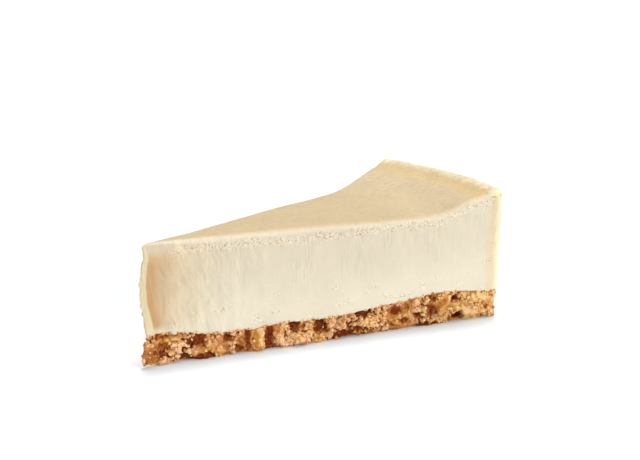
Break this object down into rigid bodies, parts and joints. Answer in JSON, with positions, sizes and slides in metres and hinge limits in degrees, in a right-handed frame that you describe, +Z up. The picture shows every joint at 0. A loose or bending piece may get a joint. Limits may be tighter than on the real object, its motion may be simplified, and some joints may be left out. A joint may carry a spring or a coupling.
{
  "type": "baked cheesecake slice",
  "caption": "Cut wedge of baked cheesecake: pale cream filling with a dished top and a raised rim, on a base of rough biscuit crumb.",
  "frame": {"origin": "middle of the slice's footprint, on the surface that it rests on", "axes": "+X from the tip to the outer wall of the cake, +Z up; the cut with the hollow beside the tip faces -Y"},
  "size_m": [0.1247, 0.062, 0.046],
  "materials": {
    "filling": "smooth, slightly moist cream, satin on the baked top",
    "crumb": "dull, coarse biscuit crumb"
  },
  "bodies": {
    "root": {"crumb_base": "crumb", "filling": "filling"}
  },
  "joints": []
}
